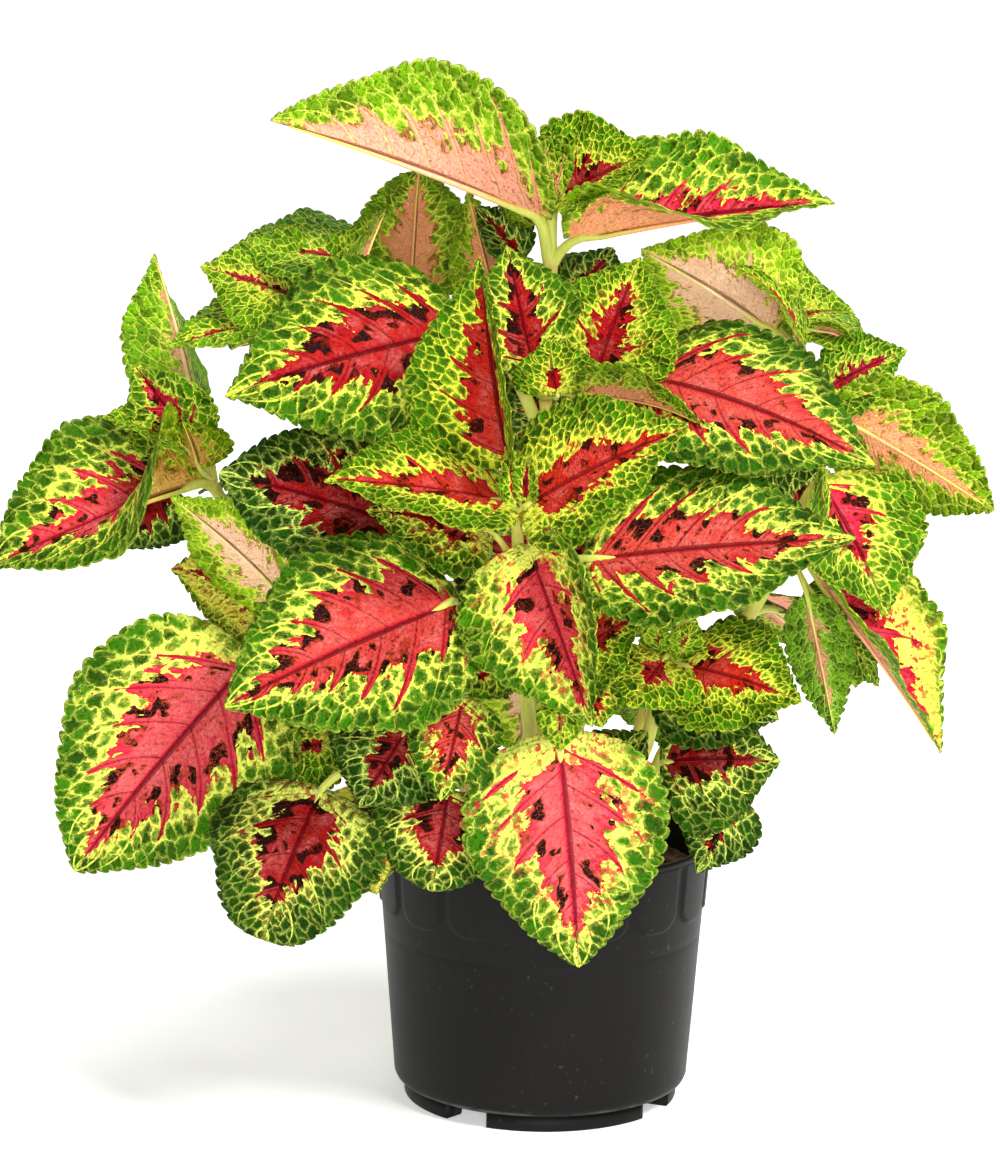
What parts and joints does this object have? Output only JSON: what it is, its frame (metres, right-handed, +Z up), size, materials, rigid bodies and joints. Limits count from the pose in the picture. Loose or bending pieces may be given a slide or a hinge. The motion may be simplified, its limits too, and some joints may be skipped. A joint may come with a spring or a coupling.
{
  "type": "potted coleus plant",
  "caption": "Bushy coleus with toothed, patterned leaves on branching stems, growing in a round dark nursery pot with a collared rim and curved feet.",
  "frame": {"origin": "middle of the whole plant's footprint, at the ground under the pot's feet", "axes": "+Z up; -Y towards the side the plant is seen from; +X to that viewer's right"},
  "size_m": [0.3692, 0.3103, 0.3961],
  "materials": {
    "pot": "satin",
    "soil": "matte",
    "foliage": "satin"
  },
  "bodies": {
    "root": {"pot": "pot", "soil": "soil", "shoot_crown": "foliage", "shoot_upper_left": "foliage", "shoot_far_left": "foliage", "shoot_upper_middle": "foliage", "shoot_centre": "foliage", "shoot_left": "foliage", "shoot_upper_right": "foliage", "shoot_right": "foliage", "shoot_middle_right": "foliage", "shoot_middle": "foliage", "shoot_front_left": "foliage", "shoot_low_left": "foliage", "shoot_front": "foliage", "shoot_low_right": "foliage", "shoot_back_top": "foliage", "shoot_back_left": "foliage", "shoot_back_right": "foliage", "shoot_back_low": "foliage"}
  },
  "joints": []
}
